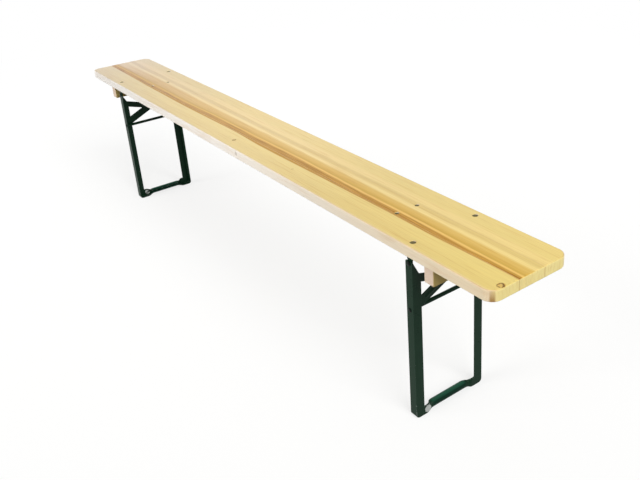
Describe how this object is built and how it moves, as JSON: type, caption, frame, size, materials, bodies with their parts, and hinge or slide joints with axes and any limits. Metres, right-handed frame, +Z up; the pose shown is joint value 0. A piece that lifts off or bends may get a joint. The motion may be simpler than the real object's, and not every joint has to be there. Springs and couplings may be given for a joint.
{
  "type": "folding bench",
  "caption": "Folding bench: a long seat of glued softwood planks on two green angle-steel leg frames that fold flat under it, each with a cross brace, a tie rod and a lock stay.",
  "frame": {"origin": "on the floor, below the middle of the seat", "axes": "+X along the seat, +Y across it to the rear, +Z up"},
  "size_m": [2.2, 0.23, 0.475],
  "materials": {
    "pale_plank": "clear lacquered spruce",
    "striped_plank": "clear lacquered spruce with dark heartwood stripes",
    "batten_wood": "planed spruce",
    "green_coat": "glossy dark green powder coat on steel",
    "dark_steel": "dulled zinc bolt head",
    "zinc_steel": "bright zinc plating"
  },
  "bodies": {
    "bench_top": {"plank_front": "pale_plank", "plank_middle": "striped_plank", "plank_rear": "pale_plank", "batten_right": "batten_wood", "batten_screw_right_front": "zinc_steel", "batten_screw_right_middle": "zinc_steel", "batten_screw_right_rear": "zinc_steel", "hinge_bracket_right_front": "green_coat", "hinge_rivet_right_front": "green_coat", "bracket_bolt_right_front": "dark_steel", "bracket_washer_right_front": "zinc_steel", "bracket_nut_right_front": "zinc_steel", "keeper_bolt_right_front": "dark_steel", "keeper_nut_right_front": "zinc_steel", "hinge_bracket_right_rear": "green_coat", "hinge_rivet_right_rear": "green_coat", "bracket_bolt_right_rear": "dark_steel", "bracket_washer_right_rear": "zinc_steel", "bracket_nut_right_rear": "zinc_steel", "keeper_bolt_right_rear": "dark_steel", "keeper_nut_right_rear": "zinc_steel", "stay_keeper_right": "zinc_steel", "batten_left": "batten_wood", "batten_screw_left_front": "zinc_steel", "batten_screw_left_middle": "zinc_steel", "batten_screw_left_rear": "zinc_steel", "hinge_bracket_left_front": "green_coat", "hinge_rivet_left_front": "green_coat", "bracket_bolt_left_front": "dark_steel", "bracket_washer_left_front": "zinc_steel", "bracket_nut_left_front": "zinc_steel", "keeper_bolt_left_front": "dark_steel", "keeper_nut_left_front": "zinc_steel", "hinge_bracket_left_rear": "green_coat", "hinge_rivet_left_rear": "green_coat", "bracket_bolt_left_rear": "dark_steel", "bracket_washer_left_rear": "zinc_steel", "bracket_nut_left_rear": "zinc_steel", "keeper_bolt_left_rear": "dark_steel", "keeper_nut_left_rear": "zinc_steel", "stay_keeper_left": "zinc_steel"},
    "right_leg": {"leg_frame_right": "green_coat", "cross_plate_right": "green_coat", "tie_rod_right": "green_coat", "stay_pin_right": "zinc_steel"},
    "right_stay": {"lock_stay_right": "zinc_steel"},
    "left_leg": {"leg_frame_left": "green_coat", "cross_plate_left": "green_coat", "tie_rod_left": "green_coat", "stay_pin_left": "zinc_steel"},
    "left_stay": {"lock_stay_left": "zinc_steel"}
  },
  "joints": [
    {"name": "right_leg_fold", "type": "hinge", "parent": "bench_top", "child": "right_leg", "pos_m": [0.841, 0, 0.427], "axis": [0, 1, 0], "range_deg": [0, 90]},
    {"name": "right_stay_turn", "type": "hinge", "parent": "right_leg", "child": "right_stay", "pos_m": [0.832, 0, 0.372], "axis": [0, 1, 0], "range_deg": [-121.2, 0]},
    {"name": "left_leg_fold", "type": "hinge", "parent": "bench_top", "child": "left_leg", "pos_m": [-0.841, 0, 0.427], "axis": [0, -1, 0], "range_deg": [0, 90]},
    {"name": "left_stay_turn", "type": "hinge", "parent": "left_leg", "child": "left_stay", "pos_m": [-0.832, 0, 0.372], "axis": [0, -1, 0], "range_deg": [-121.2, 0]}
  ],
  "couplings": [
    {"joint": "right_stay_turn", "follows": "right_leg_fold", "ratio": -1.3466},
    {"joint": "left_stay_turn", "follows": "left_leg_fold", "ratio": -1.3466}
  ]
}
